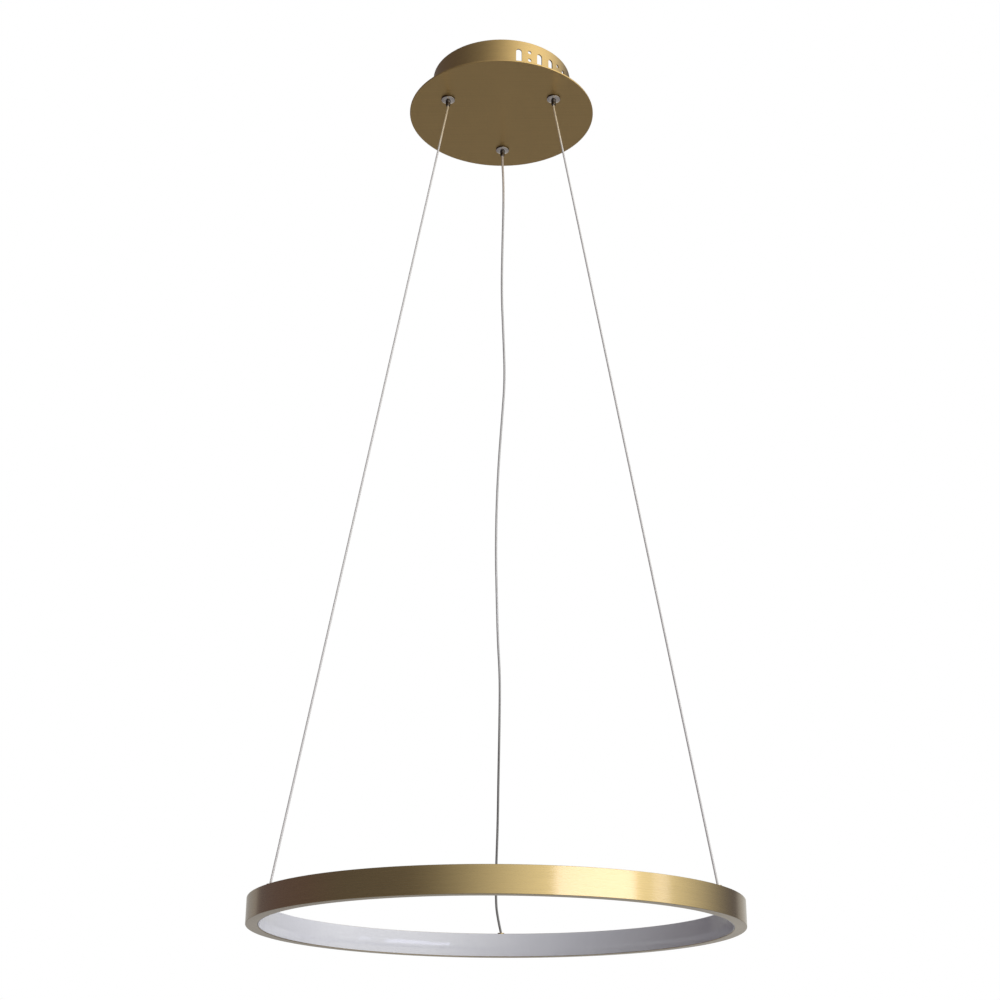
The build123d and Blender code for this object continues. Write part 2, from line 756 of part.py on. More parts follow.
# Driver lid: a plate with a lip that fits inside the tray
lip_outside = [side - 2 * seat_gap for side in tray_inside]
lip_inside = [side - 2 * driver_lip_thickness for side in lip_outside]
with BuildPart() as driver_lid:
    with BuildSketch(Plane.XY.offset(z_tray_top)):
        Rectangle(driver_width, driver_length)
    extrude(amount=driver_lid_thickness)
    with BuildSketch(Plane.XY.offset(z_tray_top)):
        Rectangle(*lip_outside)
        Rectangle(*lip_inside, mode=Mode.SUBTRACT)
    extrude(amount=-driver_lip_depth)
    with BuildSketch(Plane.XY.offset(z_tray_top)):
        with Locations((0, grommet_place)):
            Circle(grommet_neck_diameter / 2 + seat_gap)
    extrude(amount=driver_lid_thickness, mode=Mode.SUBTRACT)
finish(driver_lid, "driver_lid")

# Circuit board on the tray's posts
with BuildPart() as driver_board:
    with BuildSketch(Plane.XY.offset(z_board_bottom)):
        Rectangle(*board_size)
    extrude(amount=board_thickness)
finish(driver_board, "driver_board")

# Transformer: a winding between two square flanges
with BuildPart() as driver_transformer:
    with BuildSketch(Plane.XY.offset(z_board_top)):
        with Locations(transformer_place):
            Rectangle(transformer_width, transformer_length)
    extrude(amount=transformer_flange)
    with BuildSketch(Plane.XY.offset(z_board_top + transformer_flange)):
        with Locations(transformer_place):
            Circle(transformer_winding_diameter / 2)
    extrude(amount=transformer_winding_height)
    with BuildSketch(Plane.XY.offset(z_board_top + transformer_flange + transformer_winding_height)):
        with Locations(transformer_place):
            Rectangle(transformer_width, transformer_length)
    extrude(amount=transformer_flange)
finish(driver_transformer, "driver_transformer")

# Capacitors on the board
with BuildPart() as driver_capacitors:
    with BuildSketch(Plane.XY.offset(z_board_top)):
        with Locations(*capacitor_places):
            Circle(capacitor_diameter / 2)
    extrude(amount=capacitor_height)
    fillet(driver_capacitors.edges().group_by(Axis.Z)[-1], capacitor_round)
finish(driver_capacitors, "driver_capacitors")

# Grommet in the driver's lid
grommet_bore = power_cord_diameter / 2 + seat_gap
grommet_centre = Vector(0, grommet_place, 0)
grommet_outline = (
    (grommet_bore, z_tray_top - grommet_flange_thickness),
    (grommet_flange_diameter / 2, z_tray_top - grommet_flange_thickness),
    (grommet_flange_diameter / 2, z_tray_top),
    (grommet_neck_diameter / 2, z_tray_top),
    (grommet_neck_diameter / 2, z_lid_top),
    (grommet_flange_diameter / 2, z_lid_top),
    (grommet_flange_diameter / 2, z_lid_top + grommet_flange_thickness),
    (grommet_bore, z_lid_top + grommet_flange_thickness),
)
with BuildPart() as output_grommet:
    revolve(section(grommet_outline, grommet_centre), axis=Axis(grommet_centre, (0, 0, 1)))
finish(output_grommet, "output_grommet")

# Terminal block: a base with a housing for each pole
with BuildPart() as terminal_block:
    with BuildSketch(Plane.XY.offset(z_terminal_foot)):
        with Locations(terminal_place):
            Rectangle(terminal_width, terminal_length)
    extrude(amount=terminal_base_height)
    with BuildSketch(Plane.XY.offset(z_terminal_foot + terminal_base_height)):
        with Locations(*[(terminal_place[0], y) for y in pole_places]):
            Rectangle(terminal_width, terminal_pole_width)
    extrude(amount=terminal_height - terminal_base_height)
    fillet(terminal_block.edges().group_by(Axis.Z)[-1].filter_by(Axis.X), terminal_pole_round)
    with BuildSketch(Plane.YZ.offset(terminal_place[0] - terminal_width / 2)):
        with Locations(*[(y, z_terminal_entry) for y in pole_places]):
            Rectangle(terminal_entry_size, terminal_entry_size)
    extrude(amount=terminal_width, mode=Mode.SUBTRACT)
    with BuildSketch(Plane.XY.offset(z_terminal_top)):
        with Locations(terminal_place):
            with GridLocations(2 * terminal_screw_spread, terminal_pole_pitch, 2, terminal_pole_count):
                Circle(terminal_screw_diameter / 2 + seat_gap)
    extrude(amount=z_terminal_entry - z_terminal_top, mode=Mode.SUBTRACT)
finish(terminal_block, "terminal_block")

# Terminal screws, two for each pole, which press on the leads
with BuildPart() as terminal_screws:
    with BuildSketch(Plane.XY.offset(z_screw_tip)):
        with Locations(terminal_place):
            with GridLocations(2 * terminal_screw_spread, terminal_pole_pitch, 2, terminal_pole_count):
                Circle(terminal_screw_diameter / 2)
    extrude(amount=z_screw_head - z_screw_tip)
    with BuildSketch(Plane.XY.offset(z_screw_head)):
        with Locations(terminal_place):
            with GridLocations(2 * terminal_screw_spread, terminal_pole_pitch, 2, terminal_pole_count):
                Rectangle(terminal_screw_diameter, screw_slot_width)
    extrude(amount=-screw_slot_depth, mode=Mode.SUBTRACT)
finish(terminal_screws, "terminal_screws")

# Supply leads from two poles straight into the driver
terminal_side = terminal_place[0] + terminal_width / 2
lead_inner_end = -driver_width / 2 + driver_wall + lead_inside_driver
with BuildPart() as supply_leads:
    with BuildSketch(Plane.YZ.offset(terminal_side - lead_insertion)):
        with Locations(*[(y, z_terminal_entry) for y in pole_places[:2]]):
            Circle(lead_diameter / 2)
    extrude(amount=lead_inner_end - terminal_side + lead_insertion)
finish(supply_leads, "supply_leads")

# Earth stud welded on the plate, with its lug, nut and lead
with BuildPart() as earth_stud:
    with BuildSketch(Plane.XY.offset(z_plate_top)):
        with Locations(earth_stud_place):
            Circle(earth_stud_diameter / 2)
    extrude(amount=earth_stud_height)
finish(earth_stud, "earth_stud")

z_lug_top = z_plate_top + earth_lug_thickness
with BuildPart() as earth_lug:
    with BuildSketch(Plane.XY.offset(z_plate_top)):
        with Locations(earth_stud_place):
            Circle(earth_lug_diameter / 2)
            Rectangle(earth_tongue_width, earth_tongue_length, align=(Align.CENTER, Align.MAX))
            Circle(earth_stud_diameter / 2 + hole_clearance, mode=Mode.SUBTRACT)
    extrude(amount=earth_lug_thickness)
finish(earth_lug, "earth_lug")

with BuildPart() as earth_nut:
    with BuildSketch(Plane.XY.offset(z_lug_top)):
        with Locations(earth_stud_place):
            RegularPolygon(earth_nut_across_flats / 2, 6, major_radius=False)
            Circle(earth_stud_diameter / 2 + seat_gap, mode=Mode.SUBTRACT)
    extrude(amount=earth_nut_thickness)
finish(earth_nut, "earth_nut")

z_lead_on_tongue = z_lug_top + lead_diameter / 2 + seat_gap
lug_edge = earth_stud_place[1] - earth_nut_across_flats / sqrt(3) - seat_gap
earth_lead = cord_tube(
    (
        (terminal_side - lead_insertion, pole_places[-1], z_terminal_entry),
        (earth_stud_place[0], pole_places[-1], z_terminal_entry),
        (earth_stud_place[0], pole_places[-1] + earth_lead_bend, z_lead_on_tongue),
        (earth_stud_place[0], lug_edge, z_lead_on_tongue),
    ),
    lead_diameter,
    "earth_lead",
)
finish(earth_lead, "earth_lead")
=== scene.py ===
from bisect import bisect
from math import atan2, cos, hypot, pi, radians, sin

import bpy
from mathutils import Matrix, Vector


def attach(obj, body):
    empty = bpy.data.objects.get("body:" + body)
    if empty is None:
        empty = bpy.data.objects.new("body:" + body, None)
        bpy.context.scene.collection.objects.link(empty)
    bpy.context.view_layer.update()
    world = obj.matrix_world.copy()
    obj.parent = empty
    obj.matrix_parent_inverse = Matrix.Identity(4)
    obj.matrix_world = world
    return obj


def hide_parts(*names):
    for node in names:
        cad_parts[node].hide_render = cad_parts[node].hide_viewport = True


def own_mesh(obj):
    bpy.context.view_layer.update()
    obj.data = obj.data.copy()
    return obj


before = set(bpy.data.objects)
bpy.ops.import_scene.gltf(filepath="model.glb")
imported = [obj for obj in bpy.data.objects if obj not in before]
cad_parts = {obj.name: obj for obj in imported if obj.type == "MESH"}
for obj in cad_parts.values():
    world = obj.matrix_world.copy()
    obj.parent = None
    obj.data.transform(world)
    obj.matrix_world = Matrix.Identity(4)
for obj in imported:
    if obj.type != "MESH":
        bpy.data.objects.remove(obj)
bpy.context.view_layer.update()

# Sizes in metres and angles in degrees, in the part's own frame: the ceiling is at height 0
mm = 0.001

# Canopy sizes
plate_radius = 88.5 * mm
plate_bottom = -40.0 * mm
plate_top = -38.5 * mm
plate_edge = 0.35 * mm
wall_outer = 66.5 * mm
wall_thickness = 1.2 * mm
wall_flange_inner = 50.3 * mm
wall_edge = 0.25 * mm
side_hole_radius = 2.15 * mm
side_hole_drop = 9.0 * mm
vent_groups = (-65.4, -35.4, 114.6, 144.6)
vent_spread = 9.2
vent_slot_width = 5.6 * mm
vent_slot_length = 20.0 * mm
vent_hole_diameter = 3.6 * mm
vent_hole_pitch = 8.6 * mm
vent_height = plate_top / 2

# Sizes of the cord grips, their nozzles and springs
grip_circle = 58.0 * mm
grip_angles = {"left": 210.0, "right": 330.0, "rear": 90.0}
grip_hole_radius = 5.15 * mm
grip_flange_radius = 6.5 * mm
grip_flange_bottom = -42.6 * mm
grip_face_dome = 0.8 * mm
grip_face_round = 0.6 * mm
grip_face_land = 0.3 * mm
grip_barrel_radius = 5.0 * mm
grip_barrel_top = -22.0 * mm
nozzle_radius = 2.3 * mm
nozzle_hole_radius = 2.4 * mm
nozzle_bore_radius = 1.3 * mm
nozzle_tip = -48.0 * mm
nozzle_tip_radius = 1.8 * mm
nozzle_taper = 2.0 * mm
groove_height = -44.6 * mm
groove_half_width = 0.35 * mm
groove_waist = 0.86
cone_bottom = -38.0 * mm
cone_top = -30.0 * mm
chamber_radius = 3.6 * mm
cage_radius = 2.7 * mm
cage_bottom = -34.2 * mm
cage_top = -29.8 * mm
ball_height = -32.0 * mm
ball_pocket_radius = 1.22 * mm
spring_radius = 2.1 * mm
spring_wire_radius = 0.25 * mm
spring_bottom = -29.75 * mm
spring_top = -24.05 * mm
spring_turns = 5
fitting_edge = 0.12 * mm

# Ring sizes
ring_outer = 200.0 * mm
ring_inner = 189.5 * mm
ring_top = -790.0 * mm
ring_bottom = -810.5 * mm
ring_middle = (ring_top + ring_bottom) / 2
ring_wall = 1.2 * mm
ring_edge = 0.35 * mm
diffuser_top = -790.25 * mm
diffuser_bottom = -810.25 * mm
diffuser_crown = 0.8 * mm
diffuser_lip = 1.0 * mm
diffuser_thickness = 0.9 * mm
diffuser_edge = 0.2 * mm
anchor_circle = 195.0 * mm
anchor_hole_radius = 1.9 * mm
anchor_top = -789.0 * mm

# Cord sizes: a foot's rise over the elbow and its rounding are shares of the cord's diameter
side_cord_diameter = 1.8 * mm
power_cord_diameter = 2.2 * mm
cord_exit_run = 4.0 * mm
cord_end = -796.65 * mm
straight_from = 6.0 * mm
elbow_rise = 0.6 * mm
elbow_height = anchor_top + elbow_rise
foot_rise = 0.48
foot_rounding = 0.46

# Modelling: what counts as touching, how far a cutter reaches past, and points round each shape
touching = 0.01 * mm
cutter_past = 1.0 * mm
wall_cutter_length = 20.0 * mm
ring_steps = 360
canopy_steps = 256
grip_steps = 64
bore_steps = 48
hole_steps = 32
cord_steps = 24
wire_steps = 12
coil_steps = 24
brush_map = "brush_map"


def polar(radius, angle, height=0.0):
    """The point at this radius, angle in degrees and height about the light's own axis."""
    return Vector((radius * cos(radians(angle)), radius * sin(radians(angle)), height))


# Editing helpers


def start_fresh():
    """Leave nothing selected, so that an operator acts only on the piece at hand."""
    if bpy.context.object and bpy.context.object.mode != "OBJECT":
        bpy.ops.object.mode_set(mode="OBJECT")
    bpy.ops.object.select_all(action="DESELECT")


def choose(piece):
    """Make a piece the only one that operators act on."""
    start_fresh()
    piece.select_set(True)
    bpy.context.view_layer.objects.active = piece


def settle(name):
    """Name the active piece and put its place, turn and size into its mesh."""
    piece = bpy.context.object
    piece.name = name
    piece.data.name = name
    bpy.ops.object.transform_apply(location=True, rotation=True, scale=True)
    return piece


def throw_away(piece):
    """Remove a piece and its mesh."""
    mesh = piece.data
    bpy.data.objects.remove(piece)
    bpy.data.meshes.remove(mesh)


def tube(name, radius, bottom, top, around, ends="NOTHING", centre=Vector((0, 0, 0))):
    """A round tube, open at its ends, that stands upright between two heights."""
    start_fresh()
    bpy.ops.mesh.primitive_cylinder_add(
        vertices=around,
        radius=radius,
        depth=top - bottom,
        end_fill_type=ends,
        location=(centre.x, centre.y, (top + bottom) / 2),
    )
    return settle(name)


def bar(name, radius, bottom, top, around, centre=Vector((0, 0, 0))):
    """A round bar with flat ends that stands upright between two heights."""
    return tube(name, radius, bottom, top, around, "NGON", centre)


def pick(piece, wanted):
    """Open the piece for editing with only the wanted points selected."""
    bpy.ops.object.mode_set(mode="EDIT")
    bpy.ops.mesh.select_mode(type="VERT")
    bpy.ops.mesh.select_all(action="DESELECT")
    bpy.ops.object.mode_set(mode="OBJECT")
    for point in piece.data.vertices:
        point.select = wanted(point.co)
    bpy.ops.object.mode_set(mode="EDIT")


def pick_all():
    """Open the active piece for editing with all of it selected."""
    bpy.ops.object.mode_set(mode="EDIT")
    bpy.ops.mesh.select_all(action="SELECT")


def close():
    """Leave edit mode."""
    bpy.ops.object.mode_set(mode="OBJECT")


def at_height(height):
    """A test for the points that lie at one height."""
    return lambda point: abs(point.z - height) < touching


def extrude(rise=0.0):
    """Extrude what is selected, and move it up."""
    bpy.ops.mesh.extrude_region_move(TRANSFORM_OT_translate={"value": (0, 0, rise)})


def draw_in(height, share):
    """Scale the selected loop towards the axis."""
    bpy.ops.transform.resize(value=(share, share, 1), center_override=(0, 0, height))


def slice_at(height):
    """Add a loop of points round the active piece at a height."""
    pick_all()
    bpy.ops.mesh.bisect(plane_co=(0, 0, height), plane_no=(0, 0, 1))
    close()


def away_from_axis(centre, normal):
    """More than 0 where a face points away from the light's own axis."""
    return normal.x * centre.x + normal.y * centre.y


def towards_axis(centre, normal):
    """More than 0 where a face points towards the light's own axis."""
    return -away_from_axis(centre, normal)


def face_outwards(piece, is_outside):
    """Turn all faces the same way round, and outwards where is_outside says so."""
    pick_all()
    bpy.ops.mesh.normals_make_consistent(inside=False)
    close()
    agree = sum(is_outside(face.center, face.normal) * face.area for face in piece.data.polygons)
    if agree < 0:
        pick_all()
        bpy.ops.mesh.flip_normals()
        close()


def modify(piece, kind, **settings):
    """Add a modifier, set it and apply it."""
    bpy.context.view_layer.objects.active = piece
    modifier = piece.modifiers.new(kind.lower(), kind)
    for name, value in settings.items():
        setattr(modifier, name, value)
    bpy.ops.object.modifier_apply(modifier=modifier.name)


def thicken(piece, thickness):
    """Give a sheet its thickness, on the side away from its faces."""
    modify(piece, "SOLIDIFY", thickness=thickness, offset=-1, use_even_offset=True)


def soften_edges(piece, width, segments=3, above=40):
    """Round the edges that are sharper than the angle."""
    modify(
        piece,
        "BEVEL",
        width=width,
        segments=segments,
        limit_method="ANGLE",
        angle_limit=radians(above),
    )


def cut(piece, *cutters):
    """Cut the cutters out of the piece and throw them away."""
    for cutter in cutters:
        modify(piece, "BOOLEAN", operation="DIFFERENCE", solver="EXACT", object=cutter)
        throw_away(cutter)


def upright_cutters(radius, circle, bottom, top, around):
    """A cutter at each cord's angle on a circle, for a round hole between two heights."""
    low, high = bottom - cutter_past, top + cutter_past
    return [
        bar("cutter", radius, low, high, around, polar(circle, angle))
        for angle in grip_angles.values()
    ]


def radial_bar(radius, angle, height, middle_radius=wall_outer, length=wall_cutter_length):
    """A round bar that points out from the axis, as a cutter for a hole in a round wall."""
    start_fresh()
    bpy.ops.mesh.primitive_cylinder_add(
        vertices=hole_steps,
        radius=radius,
        depth=length,
        location=polar(middle_radius, angle, height),
        rotation=(pi / 2, 0, radians(angle) + pi / 2),
    )
    return settle("cutter")


def smooth(piece, below=35):
    """Shade smoothly over soft angles, and keep broad faces flat beside their rounded edges."""
    choose(piece)
    bpy.ops.object.shade_smooth_by_angle(angle=radians(below))
    modify(piece, "WEIGHTED_NORMAL", keep_sharp=True)


def copy_to(piece, place, name):
    """A copy of the piece, with a mesh of its own, moved to another place."""
    choose(piece)
    bpy.ops.object.duplicate()
    bpy.ops.transform.translate(value=place)
    return settle(name)


def dress(piece, material, body, slot_name, *replaced):
    """Give a piece its material, its body and any CAD node that it stands for."""
    piece.data.materials.clear()
    piece.data.materials.append(material)
    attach(piece, body)
    if replaced:
        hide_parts(*replaced)


# Material helpers


def new_material(name):
    """An empty material and its node tree, with a principled shader on the output."""
    material = bpy.data.materials.new(name)
    material.use_nodes = True
    tree = material.node_tree
    tree.nodes.clear()
    shader = tree.nodes.new("ShaderNodeBsdfPrincipled")
    output = tree.nodes.new("ShaderNodeOutputMaterial")
    tree.links.new(shader.outputs["BSDF"], output.inputs["Surface"])
    return material, tree, shader


def feed(tree, socket, value):
    """Link a socket, or set a plain value."""
    if isinstance(value, bpy.types.NodeSocket):
        tree.links.new(value, socket)
    else:
        socket.default_value = value


def maths(tree, operation, first, second=0.0):
    """A maths node."""
    node = tree.nodes.new("ShaderNodeMath")
    node.operation = operation
    feed(tree, node.inputs[0], first)
    feed(tree, node.inputs[1], second)
    return node.outputs[0]


def total(tree, first, *others):
    """Values added together."""
    for other in others:
        first = maths(tree, "ADD", first, other)
    return first


def product(tree, first, *others):
    """Values multiplied together."""
    for other in others:
        first = maths(tree, "MULTIPLY", first, other)
    return first


def tinted(tree, colour, tint):
    """One colour multiplied by another."""
    node = tree.nodes.new("ShaderNodeVectorMath")
    node.operation = "MULTIPLY"
    tree.links.new(colour, node.inputs[0])
    tree.links.new(tint, node.inputs[1])
    return node.outputs["Vector"]


def split(tree, vector):
    """The three parts of a place or direction."""
    node = tree.nodes.new("ShaderNodeSeparateXYZ")
    tree.links.new(vector, node.inputs[0])
    return node.outputs


def level_reach(tree, x, y):
    """How far a place lies from the upright axis."""
    squares = total(tree, maths(tree, "POWER", x, 2.0), maths(tree, "POWER", y, 2.0))
    return maths(tree, "SQRT", squares)


def noise(tree, vector, scale=1.0, detail=2.0, roughness=0.5):
    """A noise pattern's grey value."""
    node = tree.nodes.new("ShaderNodeTexNoise")
    tree.links.new(vector, node.inputs["Vector"])
    node.inputs["Scale"].default_value = scale
    node.inputs["Detail"].default_value = detail
    node.inputs["Roughness"].default_value = roughness
    return node.outputs[0]


def ramp(tree, value, *stops):
    """Colours or greys along a value: each stop is a place and a grey or a colour."""
    node = tree.nodes.new("ShaderNodeValToRGB")
    tree.links.new(value, node.inputs[0])
    elements = node.color_ramp.elements
    while len(elements) < len(stops):
        elements.new(1.0)
    for element, (place, tone) in zip(elements, stops):
        element.position = place
        element.color = (*tone, 1) if isinstance(tone, tuple) else (tone, tone, tone, 1)
    return node.outputs[0]


def spread(tree, value, low, high, over=(0.0, 1.0)):
    """Stretch a value from one range over another."""
    node = tree.nodes.new("ShaderNodeMapRange")
    tree.links.new(value, node.inputs["Value"])
    node.inputs["From Min"].default_value, node.inputs["From Max"].default_value = over
    node.inputs["To Min"].default_value = low
    node.inputs["To Max"].default_value = high
    return node.outputs["Result"]


def bump(tree, shader, height, strength, distance):
    """Raise the surface by a pattern."""
    node = tree.nodes.new("ShaderNodeBump")
    node.inputs["Strength"].default_value = strength
    node.inputs["Distance"].default_value = distance
    tree.links.new(height, node.inputs["Height"])
    tree.links.new(node.outputs["Normal"], shader.inputs["Normal"])


def shade(tone, share):
    """A tone made darker or lighter."""
    return tuple(share * part for part in tone)


def object_place(tree):
    """The place on the piece, in metres."""
    return tree.nodes.new("ShaderNodeTexCoord").outputs["Object"]


def stretched(tree, vector, scale):
    """The place, stretched by a factor along each axis."""
    node = tree.nodes.new("ShaderNodeMapping")
    tree.links.new(vector, node.inputs["Vector"])
    node.inputs["Scale"].default_value = scale
    return node.outputs["Vector"]


def straight_place(tree, along, across):
    """A place for grain that runs straight from left to right."""
    return stretched(tree, object_place(tree), (along, across, across))


def round_place(tree, along, across):
    """A place for grain that runs round the upright axis: long along the round, fine across it."""
    x, y, z = split(tree, object_place(tree))
    radius = level_reach(tree, x, y)
    joined = tree.nodes.new("ShaderNodeCombineXYZ")
    feed(tree, joined.inputs[0], product(tree, maths(tree, "DIVIDE", x, radius), along))
    feed(tree, joined.inputs[1], product(tree, maths(tree, "DIVIDE", y, radius), along))
    feed(tree, joined.inputs[2], product(tree, total(tree, z, radius), across))
    return joined.outputs[0]


def round_tangent(tree):
    """The direction round the upright axis."""
    node = tree.nodes.new("ShaderNodeTangent")
    node.direction_type = "RADIAL"
    node.axis = "Z"
    return node.outputs["Tangent"]


def map_tangent(tree):
    """The direction across the piece's own map."""
    node = tree.nodes.new("ShaderNodeTangent")
    node.direction_type = "UV_MAP"
    node.uv_map = brush_map
    return node.outputs["Tangent"]


# Materials


def brushed_gold(name, tone, place_of, tangent_of, rough, stretch, coat):
    """Gold-coloured metal with fine brush lines under a clear lacquer."""
    material, tree, shader = new_material(name)
    fine = noise(tree, place_of(tree, along=9.0, across=5200.0), detail=3.0, roughness=0.6)
    broad = noise(tree, place_of(tree, along=2.2, across=900.0), detail=2.0)
    lines = total(tree, product(tree, fine, 0.75), product(tree, broad, 0.25))
    lined = ramp(tree, lines, (0.34, shade(tone, 0.90)), (0.5, tone), (0.66, shade(tone, 1.08)))
    feed(tree, shader.inputs["Base Color"], lined)
    feed(tree, shader.inputs["Roughness"], spread(tree, lines, rough - 0.05, rough + 0.05))
    feed(tree, shader.inputs["Tangent"], tangent_of(tree))
    shader.inputs["Metallic"].default_value = 1.0
    shader.inputs["Anisotropic"].default_value = stretch
    shader.inputs["Anisotropic Rotation"].default_value = 0.25
    shader.inputs["Coat Weight"].default_value = coat
    shader.inputs["Coat IOR"].default_value = 1.6
    shader.inputs["Coat Roughness"].default_value = 0.14
    bump(tree, shader, fine, strength=0.08, distance=0.02 * mm)
    return material


def bright_metal(name, tone, rough, mottle=60.0):
    """Plated or bare metal with a little wear in its shine."""
    material, tree, shader = new_material(name)
    wear = noise(tree, object_place(tree), scale=mottle, detail=4.0, roughness=0.6)
    worn = ramp(tree, wear, (0.35, shade(tone, 0.9)), (0.6, tone))
    feed(tree, shader.inputs["Base Color"], worn)
    feed(tree, shader.inputs["Roughness"], spread(tree, wear, 0.6 * rough, 1.4 * rough))
    shader.inputs["Metallic"].default_value = 1.0
    return material


def plain_plastic(name, tone, rough, grain=900.0, depth=0.05, coat=0.0):
    """Moulded plastic or rubber: a faint cloud of colour and a fine grain."""
    material, tree, shader = new_material(name)
    place = object_place(tree)
    cloud = noise(tree, place, scale=45.0, detail=3.0)
    fine = noise(tree, place, scale=grain, detail=2.0)
    clouded = ramp(tree, cloud, (0.35, shade(tone, 0.95)), (0.65, tone))
    feed(tree, shader.inputs["Base Color"], clouded)
    feed(tree, shader.inputs["Roughness"], spread(tree, fine, rough - 0.06, rough + 0.06))
    shader.inputs["Coat Weight"].default_value = coat
    shader.inputs["Coat Roughness"].default_value = 0.08
    bump(tree, shader, fine, strength=depth, distance=0.05 * mm)
    return material


def clear_sleeve(name, top, middle, low):
    """Twisted strands under a clear, glossy sleeve, with painted light near the grip and painted
    shade towards the ring end.
    """
    material, tree, shader = new_material(name)
    turned, metres, _ = split(tree, tree.nodes.new("ShaderNodeUVMap").outputs["UV"])
    strands = 5.0
    turns_per_metre = 140.0
    twist = total(tree, turned, product(tree, metres, turns_per_metre))
    wave = maths(tree, "SINE", product(tree, twist, 2 * pi * strands))
    height = total(tree, product(tree, wave, 0.5), 0.5)
    down = maths(tree, "DIVIDE", metres, nozzle_tip - cord_end)
    # Painted light and shade along the cord: a lit, gold-tinged tone near the grip and a darker
    # tone towards the ring.
    tone = ramp(tree, down, (0.045, top), (0.075, middle), (0.62, middle), (0.80, low))
    # Painted shade in the furrows between the strands.
    painted_furrow_shade = ramp(tree, height, (0.1, 0.85), (0.7, 1.0))
    feed(tree, shader.inputs["Base Color"], tinted(tree, tone, painted_furrow_shade))
    shader.inputs["Roughness"].default_value = 0.34
    shader.inputs["Coat Weight"].default_value = 0.9
    shader.inputs["Coat Roughness"].default_value = 0.06
    bump(tree, shader, height, strength=0.2, distance=0.06 * mm)
    return material


def opal_white():
    """The diffuser's opal plastic: faintly cloudy and rippled, with a soft gloss."""
    material, tree, shader = new_material("opal_white")
    cloud = noise(tree, object_place(tree), scale=26.0, detail=3.0)
    ripple = noise(tree, round_place(tree, along=24.0, across=70.0), detail=1.0)
    clouded = ramp(tree, cloud, (0.3, (0.77, 0.78, 0.815)), (0.7, (0.81, 0.82, 0.85)))
    feed(tree, shader.inputs["Base Color"], clouded)
    feed(tree, shader.inputs["Roughness"], spread(tree, cloud, 0.07, 0.12))
    shader.inputs["IOR"].default_value = 1.58
    shader.inputs["Subsurface Weight"].default_value = 0.08
    shader.inputs["Subsurface Radius"].default_value = (2 * mm, 2 * mm, 2 * mm)
    bump(tree, shader, ripple, strength=0.2, distance=0.8 * mm)
    return material


def grip_chrome_and_painted_shade():
    """Chrome that is bright on the grip's face, with painted shade that darkens its side up towards
    the plate.
    """
    material, tree, shader = new_material("grip_chrome_and_painted_shade")
    place = object_place(tree)
    _, _, height = split(tree, place)
    most_wear = 0.3
    wear = product(tree, noise(tree, place, scale=900.0, detail=3.0), most_wear)
    up = spread(tree, height, 0.0, 1.0, over=(grip_flange_bottom, plate_bottom))
    # Painted shade: the grip's side, up towards the plate, is painted dark; the bright face is the
    # chrome's own tone.
    face = (0.48, (0.95, 0.90, 0.85))
    side = (0.64, (0.15, 0.13, 0.11))
    feed(tree, shader.inputs["Base Color"], ramp(tree, total(tree, up, wear), face, side))
    feed(tree, shader.inputs["Roughness"], spread(tree, wear, 0.05, 0.16, over=(0.0, most_wear)))
    shader.inputs["Metallic"].default_value = 1.0
    return material


# Camera at the photograph's place and angle, with its turns in radians
picture_width = 1000
focal_pixels = 1695.8
sensor = 36.0
camera_place = Vector((31.4 * mm, -1395.5 * mm, -983.4 * mm))
camera_pitch = radians(21.296)
camera_yaw = -0.0218
camera_roll = -0.0062

camera_data = bpy.data.cameras.new("camera")
camera_data.sensor_width = sensor
camera_data.lens = focal_pixels * sensor / picture_width
camera_data.clip_end = 50
camera = bpy.data.objects.new("camera", camera_data)
bpy.context.scene.collection.objects.link(camera)
level_right = Vector((cos(camera_yaw), -sin(camera_yaw), 0))
level_ahead = Vector((sin(camera_yaw), cos(camera_yaw), 0))
upwards = Vector((0, 0, 1))
ahead = level_ahead * cos(camera_pitch) + upwards * sin(camera_pitch)
above = upwards * cos(camera_pitch) - level_ahead * sin(camera_pitch)
picture_right = level_right * cos(camera_roll) - above * sin(camera_roll)
picture_up = level_right * sin(camera_roll) + above * cos(camera_roll)
turn = Matrix((picture_right, picture_up, -ahead)).transposed()
camera.matrix_world = Matrix.Translation(camera_place) @ turn.to_4x4()
bpy.context.scene.camera = camera

# Cords: a smooth line along the route, a round cord on that line, and a foot at its end


def route_line(name, route):
    """A smooth curve with the route's points as its control points."""
    line = bpy.data.curves.new(name + "_route", "CURVE")
    line.dimensions = "3D"
    line.resolution_u = 16
    spline = line.splines.new("NURBS")
    spline.points.add(len(route) - 1)
    for point, place in zip(spline.points, route):
        point.co = (*place, 1)
    spline.order_u = 3
    spline.use_endpoint_u = True
    thread = bpy.data.objects.new(name + "_route", line)
    bpy.context.scene.collection.objects.link(thread)
    bpy.context.view_layer.update()
    return thread


def points_along(thread):
    """The points that a smooth curve runs through."""
    centre_line = bpy.data.meshes.new_from_object(thread)
    along = [point.co.copy() for point in centre_line.vertices]
    bpy.data.meshes.remove(centre_line)
    return along


def wrap_along(piece, along, reached=0.0):
    """A map on the cord: across is once round it, and up is metres along it."""
    layer = piece.data.uv_layers.active or piece.data.uv_layers.new(name="cord_map")
    reach = [reached]
    for here, there in zip(along, along[1:]):
        reach.append(reach[-1] + (there - here).length)
    drops = [along[0].z - point.z for point in along]
    least_drop = 1e-9
    places = []
    for point in piece.data.vertices:
        drop = along[0].z - point.co.z
        step = min(max(bisect(drops, drop), 1), len(along) - 1)
        share = (drop - drops[step - 1]) / max(drops[step] - drops[step - 1], least_drop)
        share = min(max(share, 0.0), 1.0)
        out = point.co - along[step - 1].lerp(along[step], share)
        down = reach[step - 1] + share * (reach[step] - reach[step - 1])
        places.append((atan2(out.y, out.x) / (2 * pi) + 0.5, down))
    for face in piece.data.polygons:
        turns = [places[index][0] for index in face.vertices]
        wraps = max(turns) - min(turns) > 0.5
        for corner, index in zip(face.loop_indices, face.vertices):
            turned, down = places[index]
            layer.data[corner].uv = (turned + 1.0 if wraps and turned < 0.5 else turned, down)


